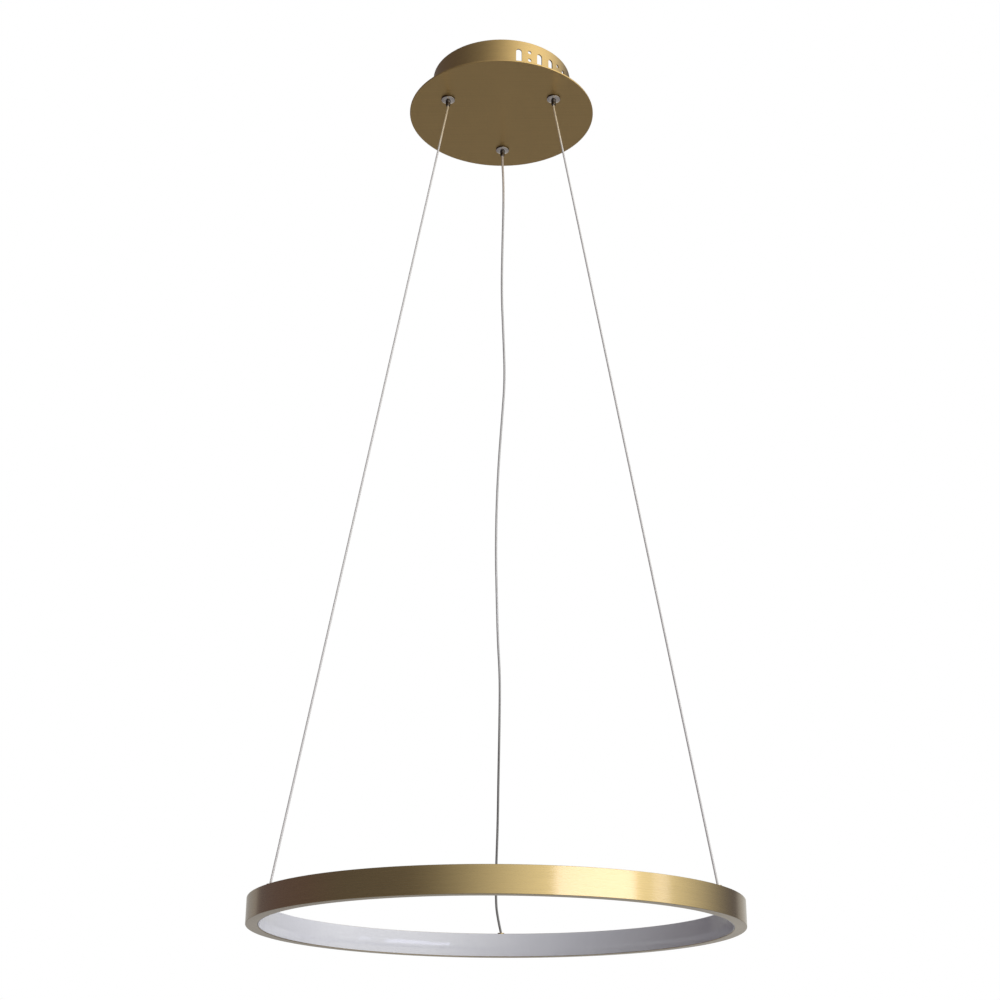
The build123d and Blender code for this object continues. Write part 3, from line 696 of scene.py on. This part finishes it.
def cord_foot(name, elbow, diameter, material, slot_name, reached):
    """A cord's end, upright in its anchor and ferrule, with a round top that the cord turns on."""
    top = elbow.z + foot_rise * diameter
    piece = bar(name + "_foot", diameter / 2, cord_end, top, cord_steps, elbow)
    pick(piece, at_height(top))
    bpy.ops.mesh.bevel(offset=foot_rounding * diameter, segments=5, affect="EDGES")
    close()
    wrap_along(piece, [Vector((elbow.x, elbow.y, height)) for height in (top, cord_end)], reached)
    smooth(piece, below=50)
    dress(piece, material, "ring", slot_name)
    return piece


def cord(name, route, diameter, material, slot_name):
    """A round cord on a smooth line, held by the canopy, with a foot at its end that goes with the
    ring.
    """
    thread = route_line(name, route)
    along = points_along(thread)
    thread.data.bevel_depth = diameter / 2
    thread.data.bevel_resolution = 4
    thread.data.use_fill_caps = True
    choose(thread)
    bpy.ops.object.convert(target="MESH")
    piece = settle(name + "_line")
    wrap_along(piece, along)
    smooth(piece, below=50)
    dress(piece, material, "canopy", slot_name, name)
    elbow = route[-1]
    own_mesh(piece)
    length = sum((there - here).length for here, there in zip(along, along[1:]))
    foot = cord_foot(name, elbow, diameter, material, slot_name, length)


# Each sleeve's top tone is painted light near the grips, and its low tone is painted shade towards
# the ring.
side_sleeve = clear_sleeve(
    "clear_sleeve",
    top=(0.93, 0.78, 0.53),
    middle=(0.82, 0.80, 0.77),
    low=(0.80, 0.78, 0.76),
)
power_sleeve = clear_sleeve(
    "power_sleeve",
    top=(0.80, 0.71, 0.60),
    middle=(0.66, 0.65, 0.63),
    low=(0.22, 0.214, 0.21),
)
for side in ("left", "right"):
    angle = grip_angles[side]
    upper_corner = polar(grip_circle, angle, nozzle_tip - cord_exit_run / 2)
    elbow = polar(anchor_circle, angle, elbow_height)
    run = (elbow - upper_corner).normalized() * straight_from
    side_route = (polar(grip_circle, angle, nozzle_tip), upper_corner, upper_corner + run, elbow)
    cord(f"{side}_cord", side_route, side_cord_diameter, side_sleeve, "clear_cord")

# The power cord's waves: the share of its way down, and millimetres to the side
power_cord_waves = (
    (0.035, 1.1),
    (0.075, 1.2),
    (0.130, 0.1),
    (0.190, -0.5),
    (0.245, 1.3),
    (0.305, 2.9),
    (0.355, 0.3),
    (0.415, -3.0),
    (0.475, -5.0),
    (0.535, -5.5),
    (0.590, -4.5),
    (0.645, -3.4),
    (0.690, -1.3),
    (0.750, -1.7),
    (0.815, -2.6),
    (0.875, -3.2),
    (0.920, -4.4),
    (0.956, -4.7),
    (0.978, -3.8),
)
power_route = [
    Vector((0, grip_circle, nozzle_tip)),
    Vector((0, grip_circle, nozzle_tip - 2 * cord_exit_run)),
]
for share, sideways in power_cord_waves:
    outwards = grip_circle + share * (anchor_circle - grip_circle)
    height = nozzle_tip + share * (anchor_top - nozzle_tip)
    power_route.append(Vector((sideways * mm, outwards, height)))
power_route.append(Vector((0, anchor_circle, elbow_height)))
cord("power_cord", power_route, power_cord_diameter, power_sleeve, "power_cord")

# Ring: a channel open towards the middle, made from a hoop whose rims are drawn inwards


def ring_band():
    """The gold channel, with a hole in its top for each cord anchor."""
    piece = tube("ring_band", ring_outer, ring_bottom, ring_top, ring_steps)
    for rim in (ring_top, ring_bottom):
        pick(piece, at_height(rim))
        extrude()
        draw_in(rim, (ring_inner + diffuser_lip) / ring_outer)
        close()
    face_outwards(piece, away_from_axis)
    thicken(piece, ring_wall)
    soften_edges(piece, ring_edge)
    web_bottom = ring_top - ring_wall
    holes = upright_cutters(anchor_hole_radius, anchor_circle, web_bottom, ring_top, hole_steps)
    cut(piece, *holes)
    smooth(piece)
    gold = brushed_gold(
        "ring_gold",
        tone=(0.62, 0.463, 0.206),
        place_of=round_place,
        tangent_of=round_tangent,
        rough=0.28,
        stretch=0.9,
        coat=1.0,
    )
    dress(piece, gold, "ring", "ring_gold", "ring_profile")


def ring_diffuser_strip():
    """The crowned white strip that closes the channel."""
    piece = tube("opal_strip", ring_inner, diffuser_bottom, diffuser_top, ring_steps)
    half = (diffuser_top - diffuser_bottom) / 2
    half_steps = 5
    levels = [ring_middle + half * step / half_steps for step in range(1 - half_steps, half_steps)]
    for level in levels:
        slice_at(level)
    for level in levels:
        pick(piece, at_height(level))
        crown = diffuser_crown * (1 - ((level - ring_middle) / half) ** 2)
        draw_in(level, (ring_inner - crown) / ring_inner)
        close()
    face_outwards(piece, towards_axis)
    thicken(piece, diffuser_thickness)
    soften_edges(piece, diffuser_edge, segments=2, above=60)
    smooth(piece)
    dress(piece, opal_white(), "ring", "opal_diffuser", "ring_diffuser")


ring_band()
ring_diffuser_strip()

# Canopy plate and wall


def canopy_disc():
    """The flat plate under the canopy, with a hole for each grip."""
    piece = bar("canopy_disc", plate_radius, plate_bottom, plate_top, canopy_steps)
    soften_edges(piece, plate_edge)
    holes = upright_cutters(grip_hole_radius, grip_circle, plate_bottom, plate_top, bore_steps)
    cut(piece, *holes)
    smooth(piece)
    flat_map = piece.data.uv_layers.new(name=brush_map)
    for corner, spot in zip(piece.data.loops, flat_map.data):
        spot.uv = piece.data.vertices[corner.vertex_index].co.xy
    # Painted light: the plate's gold is set lighter than the wall's gold of the same finish, to
    # stand for how the plate is lit.
    gold = brushed_gold(
        "plate_gold",
        tone=(0.70, 0.484, 0.195),
        place_of=straight_place,
        tangent_of=map_tangent,
        rough=0.36,
        stretch=0.8,
        coat=0.4,
    )
    dress(piece, gold, "canopy", "canopy_gold", "canopy_plate")


def slot_cutter(angle):
    """A bar with the outline of one upright vent slot."""
    piece = radial_bar(vent_slot_width / 2, angle, vent_height)
    stretch = (vent_slot_length - vent_slot_width) / 2
    pick(piece, lambda point: point.z > vent_height + touching)
    bpy.ops.transform.translate(value=(0, 0, stretch))
    close()
    pick(piece, lambda point: point.z < vent_height - touching)
    bpy.ops.transform.translate(value=(0, 0, -stretch))
    close()
    return piece


def canopy_drum():
    """The canopy's wall, with its inward flange, vents and screw holes."""
    piece = tube("canopy_drum", wall_outer, plate_top, 0, canopy_steps)
    pick(piece, at_height(plate_top))
    extrude()
    draw_in(plate_top, wall_flange_inner / wall_outer)
    close()
    face_outwards(piece, away_from_axis)
    thicken(piece, wall_thickness)
    soften_edges(piece, wall_edge)
    cutters = []
    for group in vent_groups:
        cutters.append(slot_cutter(group - vent_spread))
        cutters.append(slot_cutter(group + vent_spread))
        for step in (-1, 0, 1):
            height = vent_height + step * vent_hole_pitch
            cutters.append(radial_bar(vent_hole_diameter / 2, group, height))
    for angle in (0, 180):
        cutters.append(radial_bar(side_hole_radius, angle, -side_hole_drop))
    flange_top = plate_top + wall_thickness
    cutters += upright_cutters(grip_hole_radius, grip_circle, plate_top, flange_top, bore_steps)
    cut(piece, *cutters)
    smooth(piece)
    gold = brushed_gold(
        "wall_gold",
        tone=(0.62, 0.432, 0.178),
        place_of=round_place,
        tangent_of=round_tangent,
        rough=0.34,
        stretch=0.8,
        coat=0.5,
    )
    dress(piece, gold, "canopy", "canopy_gold", "canopy_wall")


canopy_disc()
canopy_drum()

# Cord grips, their release nozzles and return springs, each modelled once on the axis


def grip_bore():
    """A cutter for a grip's inside: the nozzle's hole, the balls' cone and the spring's chamber."""
    entry = grip_flange_bottom - cutter_past
    piece = bar("bore", nozzle_hole_radius, entry, cone_bottom, bore_steps)
    pick(piece, at_height(cone_bottom))
    extrude(cone_top - cone_bottom)
    draw_in(cone_top, chamber_radius / nozzle_hole_radius)
    extrude(grip_barrel_top + cutter_past - cone_top)
    close()
    return piece


def cord_grip():
    """A bored barrel and a flange with a gently domed face."""
    face_edge = grip_flange_bottom + grip_face_dome
    face_radius = grip_flange_radius - grip_face_round
    piece = bar("grip", grip_flange_radius, face_edge, plate_bottom, grip_steps)
    pick(piece, at_height(plate_bottom))
    bpy.ops.mesh.inset(thickness=grip_flange_radius - grip_barrel_radius)
    extrude(grip_barrel_top - plate_bottom)
    close()
    on_edge = at_height(face_edge)
    pick(piece, on_edge)
    bpy.ops.mesh.bevel(offset=grip_face_round, segments=4, affect="EDGES")
    close()
    pick(piece, lambda point: on_edge(point) and hypot(*point.xy) < face_radius + touching)
    dome_shares = (0.4, 0.3, 0.2, 0.1)
    step = (face_radius - nozzle_hole_radius - grip_face_land) / len(dome_shares)
    for share in dome_shares:
        bpy.ops.mesh.inset(thickness=step)
        bpy.ops.transform.translate(value=(0, 0, -share * grip_face_dome))
    close()
    cut(piece, grip_bore())
    soften_edges(piece, fitting_edge, segments=2, above=50)
    smooth(piece)
    return piece


def release_nozzle():
    """The bored bar that the cord leaves by, with a groove, a tapered tip and the balls' cage."""
    piece = bar("nozzle", nozzle_radius, nozzle_tip, cage_bottom, bore_steps)
    slice_at(nozzle_tip + nozzle_taper)
    for offset in (-groove_half_width, 0.0, groove_half_width):
        slice_at(groove_height + offset)
    pick(piece, at_height(groove_height))
    draw_in(groove_height, groove_waist)
    close()
    pick(piece, at_height(nozzle_tip))
    draw_in(nozzle_tip, nozzle_tip_radius / nozzle_radius)
    close()
    pick(piece, at_height(cage_bottom))
    extrude()
    draw_in(cage_bottom, cage_radius / nozzle_radius)
    extrude(cage_top - cage_bottom)
    close()
    low, high = nozzle_tip - cutter_past, cage_top + cutter_past
    cut(piece, bar("bore", nozzle_bore_radius, low, high, hole_steps))
    soften_edges(piece, fitting_edge, segments=2, above=30)
    pockets = [
        radial_bar(ball_pocket_radius, angle, ball_height, cage_radius, 2 * cage_radius)
        for angle in grip_angles.values()
    ]
    cut(piece, *pockets)
    smooth(piece, below=40)
    return piece


def return_spring():
    """The coil that pushes the nozzle down, wound from a round wire."""
    start_fresh()
    bpy.ops.mesh.primitive_circle_add(
        vertices=wire_steps,
        radius=spring_wire_radius,
        location=(spring_radius, 0, spring_bottom + spring_wire_radius),
        rotation=(pi / 2, 0, 0),
    )
    piece = settle("spring")
    modify(
        piece,
        "SCREW",
        screw_offset=(spring_top - spring_bottom - 2 * spring_wire_radius) / spring_turns,
        iterations=spring_turns,
        steps=coil_steps,
        render_steps=coil_steps,
    )
    pick_all()
    bpy.ops.mesh.fill_holes(sides=0)
    bpy.ops.mesh.normals_make_consistent(inside=False)
    close()
    smooth(piece, below=50)
    return piece


def fit_grips():
    """A grip, a nozzle and a spring at each cord."""
    grip, nozzle, spring = cord_grip(), release_nozzle(), return_spring()
    chrome_and_painted_shade = grip_chrome_and_painted_shade()
    # Painted dark reflection: the nozzles' chrome is given a near-black tone.
    nozzle_painted_dark = bright_metal("nozzle_painted_dark", (0.115, 0.10, 0.09), 0.18)
    spring_steel = bright_metal("spring_wire", (0.45, 0.45, 0.46), 0.28)
    for side, angle in grip_angles.items():
        place = polar(grip_circle, angle)
        body = copy_to(grip, place, f"cord_grip_{side}")
        dress(body, chrome_and_painted_shade, "canopy", "grip_chrome", f"grip_body_{side}")
        tip = copy_to(nozzle, place, f"cord_nozzle_{side}")
        dress(tip, nozzle_painted_dark, f"nozzle_{side}", "grip_chrome", f"release_nozzle_{side}")
        coil = copy_to(spring, place, f"return_spring_{side}")
        dress(coil, spring_steel, "canopy", "spring_steel", f"grip_spring_{side}")
        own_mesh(coil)
    for pattern in (grip, nozzle, spring):
        throw_away(pattern)


fit_grips()

# Materials of the CAD nodes that stay
chrome = bright_metal("chrome", (0.86, 0.86, 0.87), 0.08)
zinc = bright_metal("zinc_plate", (0.62, 0.63, 0.65), 0.32)
brass = bright_metal("brass", (0.70, 0.52, 0.24), 0.18)
anchor_gold = bright_metal("anchor_gold", (0.50, 0.38, 0.18), 0.26)
plain_sleeve = plain_plastic("plain_sleeve", (0.72, 0.71, 0.68), 0.30, coat=0.8)
white_insulation = plain_plastic("white_insulation", (0.80, 0.80, 0.78), 0.35)
green_insulation = plain_plastic("green_insulation", (0.14, 0.36, 0.06), 0.35)
driver_white = plain_plastic("driver_white", (0.78, 0.78, 0.76), 0.45, grain=1400.0, depth=0.12)
board_green = plain_plastic("board_green", (0.03, 0.13, 0.05), 0.30, coat=0.4)
winding_yellow = plain_plastic("winding_yellow", (0.72, 0.45, 0.05), 0.30)
can_dark = plain_plastic("can_dark", (0.05, 0.055, 0.07), 0.28, coat=0.5)
rubber_black = plain_plastic("rubber_black", (0.025, 0.025, 0.025), 0.60, grain=1600.0, depth=0.2)
terminal_white = plain_plastic("terminal_white", (0.82, 0.80, 0.74), 0.42, grain=1400.0, depth=0.08)
foam_grey = plain_plastic("foam_grey", (0.06, 0.06, 0.065), 0.85, grain=2200.0, depth=0.6)
board_white = plain_plastic("board_white", (0.80, 0.80, 0.78), 0.40)
phosphor = plain_plastic("phosphor", (0.85, 0.62, 0.10), 0.30, coat=0.6)
finishes = {
    zinc: (
        "mounting_bracket",
        "side_screws",
        "grip_washers",
        "grip_nuts",
        "cord_ferrules",
        "terminal_screws",
        "earth_stud",
        "earth_lug",
        "earth_nut",
    ),
    chrome: ("grip_caps",),
    anchor_gold: ("cord_anchors",),
    brass: ("clamp_balls_left", "clamp_balls_right", "clamp_balls_rear"),
    plain_sleeve: ("left_cord_tail", "right_cord_tail", "power_cord_tail"),
    white_insulation: ("feed_leads", "supply_leads"),
    green_insulation: ("earth_lead",),
    driver_white: ("driver_tray", "driver_lid"),
    board_green: ("driver_board",),
    winding_yellow: ("driver_transformer",),
    can_dark: ("driver_capacitors",),
    rubber_black: ("output_grommet",),
    terminal_white: ("terminal_block",),
    foam_grey: ("adhesive_pads",),
    board_white: ("led_strip",),
    phosphor: ("led_chips",),
}
for finish, names in finishes.items():
    for name in names:
        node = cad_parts[name]
        node.data.materials.clear()
        node.data.materials.append(finish)

# Floor: pale, and lost in the white beyond its edge
floor_height = -1.65
floor_half = 3.0
floor_grey = (0.45, 0.45, 0.45, 1)
floor_glow = 0.68
floor_fades_from = 0.3
floor_fades_to = 0.75


def pale_floor():
    """A material that keeps shadows near the light and fades out all round."""
    material, tree, shader = new_material("pale_floor")
    shader.inputs["Base Color"].default_value = floor_grey
    shader.inputs["Roughness"].default_value = 0.9
    glow = tree.nodes.new("ShaderNodeEmission")
    path = tree.nodes.new("ShaderNodeLightPath")
    feed(tree, glow.inputs["Strength"], product(tree, path.outputs["Is Camera Ray"], floor_glow))
    lit = tree.nodes.new("ShaderNodeAddShader")
    tree.links.new(shader.outputs[0], lit.inputs[0])
    tree.links.new(glow.outputs[0], lit.inputs[1])
    x, y, _ = split(tree, object_place(tree))
    away = maths(tree, "DIVIDE", level_reach(tree, x, y), floor_half)
    clear = tree.nodes.new("ShaderNodeBsdfTransparent")
    mixed = tree.nodes.new("ShaderNodeMixShader")
    feed(tree, mixed.inputs[0], ramp(tree, away, (floor_fades_from, 0.0), (floor_fades_to, 1.0)))
    tree.links.new(lit.outputs[0], mixed.inputs[1])
    tree.links.new(clear.outputs[0], mixed.inputs[2])
    output = next(node for node in tree.nodes if node.type == "OUTPUT_MATERIAL")
    tree.links.new(mixed.outputs[0], output.inputs["Surface"])
    return material


start_fresh()
bpy.ops.mesh.primitive_plane_add(size=2 * floor_half, location=(0, 0, floor_height))
floor = settle("floor")
floor.data.materials.append(pale_floor())

# Studio: a broad window to the front right, a white wall behind and a dim room elsewhere


def heading(angle, rise):
    """The direction at an angle to the right of the viewer's side and a rise above the level."""
    level = cos(radians(rise))
    return Vector((sin(radians(angle)) * level, -cos(radians(angle)) * level, sin(radians(rise))))


# The window: here and below, a range is of one part of a direction, which runs from -1 to 1
window_direction = heading(49, 8)
window_glow = 1.36
window_focus = 1.9
window_most = 1.25
window_lean = radians(16)
window_top = 1.3
window_upper = (0.25, 0.55)

# A weak light from the upper left
fill_direction = heading(-25, 35)
fill_focus = 10.0
fill_glow = 0.2
fill_least = 0.1 * fill_glow
fill_upper = (0.2, 0.5)

# The white wall behind, which dims towards its foot, its top and its ends
back_wall_glow = 0.42
back_wall_white = 0.2
back_wall_turn = 0.052
back_wall_edge = (0.755, 0.777)
back_wall_foot = (-0.24, 0.12)
back_wall_foot_dim = 0.2
back_wall_top = (0.2, 0.4)
back_wall_top_dim = 0.1
back_wall_middle = 0.08
back_wall_ends = (0.1, 0.5)
back_wall_ends_dim = 0.3

# The dim room, a little warmer to the left
room_dim = 0.135
room_tint = (1.0, 0.92, 0.97)
left_tint = (1.0, 0.77, 0.93)
left_across = (-0.9, -0.5)
left_back = (-0.35, 0.05)
left_upper = (0.3, 0.5)

# Tints of what metal reflects and of the window's brighter panes
gloss_tint = (1.0, 0.985, 0.84)
pane_tint = (0.92, 0.96, 1.3)
pane_distance = 2.2


def lobe(tree, direction, towards, focus):
    """A soft round glow about a direction."""
    node = tree.nodes.new("ShaderNodeVectorMath")
    node.operation = "DOT_PRODUCT"
    tree.links.new(direction, node.inputs[0])
    node.inputs[1].default_value = towards
    return maths(tree, "POWER", maths(tree, "MAXIMUM", node.outputs["Value"], 0.0), focus)


def window_light(tree, direction, z):
    """The broad window's glow, capped, and turned aside and brighter higher up."""
    leaning = tree.nodes.new("ShaderNodeVectorRotate")
    leaning.rotation_type = "Z_AXIS"
    tree.links.new(direction, leaning.inputs["Vector"])
    feed(tree, leaning.inputs["Angle"], spread(tree, z, 0.0, -window_lean, over=window_upper))
    window = lobe(tree, leaning.outputs["Vector"], window_direction, window_focus)
    glow = maths(tree, "MINIMUM", product(tree, window, window_glow), window_most)
    return product(tree, glow, spread(tree, z, 1.0, window_top, over=window_upper))


def fill_light(tree, direction, z):
    """The weak light from the upper left."""
    fill = lobe(tree, direction, fill_direction, fill_focus)
    return product(tree, fill, spread(tree, z, fill_least, fill_glow, over=fill_upper))


def back_wall_share(tree, x, y, z):
    """How far a direction meets the white wall behind."""
    aside = maths(tree, "SUBTRACT", y, product(tree, x, back_wall_turn))
    facing = maths(tree, "DIVIDE", aside, level_reach(tree, x, y))
    from_middle = maths(tree, "ABSOLUTE", maths(tree, "SUBTRACT", x, back_wall_middle))
    return product(
        tree,
        spread(tree, facing, 0.0, 1.0, over=back_wall_edge),
        spread(tree, z, back_wall_foot_dim, 1.0, over=back_wall_foot),
        spread(tree, z, 1.0, back_wall_top_dim, over=back_wall_top),
        spread(tree, from_middle, 1.0, back_wall_ends_dim, over=back_wall_ends),
    )


def room_colour(tree, x, y, z):
    """The dim room's colour, which is warmer to the left."""
    left = product(
        tree,
        spread(tree, x, 1.0, 0.0, over=left_across),
        spread(tree, y, 0.0, 1.0, over=left_back),
        spread(tree, z, 1.0, 0.0, over=left_upper),
    )
    return ramp(tree, left, (0.0, room_tint), (1.0, left_tint))


def background(tree, colour, strength):
    """Light of a colour and strength from all round."""
    node = tree.nodes.new("ShaderNodeBackground")
    feed(tree, node.inputs["Color"], colour)
    feed(tree, node.inputs["Strength"], strength)
    return node.outputs[0]


def studio():
    """Light by direction; the camera sees plain white, and metal and glass see the wall behind."""
    world = bpy.data.worlds.new("studio")
    bpy.context.scene.world = world
    world.use_nodes = True
    tree = world.node_tree
    tree.nodes.clear()
    direction = tree.nodes.new("ShaderNodeTexCoord").outputs["Generated"]
    path = tree.nodes.new("ShaderNodeLightPath").outputs
    x, y, z = split(tree, direction)
    back_wall = back_wall_share(tree, x, y, z)
    light = total(
        tree,
        window_light(tree, direction, z),
        fill_light(tree, direction, z),
        product(tree, back_wall, back_wall_glow),
    )
    reflected = ramp(tree, path["Is Glossy Ray"], (0.0, 1.0), (1.0, gloss_tint))
    lit = tree.nodes.new("ShaderNodeAddShader")
    tree.links.new(background(tree, room_colour(tree, x, y, z), room_dim), lit.inputs[0])
    tree.links.new(background(tree, reflected, light), lit.inputs[1])
    shiny = maths(tree, "MAXIMUM", path["Is Glossy Ray"], path["Is Transmission Ray"])
    shown = product(tree, shiny, back_wall, back_wall_white)
    seen = tree.nodes.new("ShaderNodeMixShader")
    feed(tree, seen.inputs[0], maths(tree, "MAXIMUM", path["Is Camera Ray"], shown))
    tree.links.new(lit.outputs[0], seen.inputs[1])
    tree.links.new(background(tree, (1, 1, 1, 1), 1.0), seen.inputs[2])
    output = tree.nodes.new("ShaderNodeOutputWorld")
    tree.links.new(seen.outputs[0], output.inputs["Surface"])


def window_pane(name, angle, rise, width, height, energy):
    """A brighter pane of the window, for crisp glints and a soft shadow."""
    lamp = bpy.data.lights.new(name, "AREA")
    lamp.shape = "RECTANGLE"
    lamp.size = width
    lamp.size_y = height
    lamp.energy = energy
    lamp.color = pane_tint
    pane = bpy.data.objects.new(name, lamp)
    bpy.context.scene.collection.objects.link(pane)
    out = heading(angle, rise)
    place = Vector((0, 0, ring_middle)) + pane_distance * out
    facing = out.to_track_quat("Z", "Y").to_matrix().to_4x4()
    pane.matrix_world = Matrix.Translation(place) @ facing
    pane.visible_camera = False


studio()
window_pane("broad_pane", angle=44, rise=7.7, width=1.45, height=0.21, energy=2.8)
window_pane("narrow_pane", angle=76, rise=7.7, width=0.34, height=0.21, energy=0.26)

bpy.context.scene.view_settings.view_transform = "Standard"
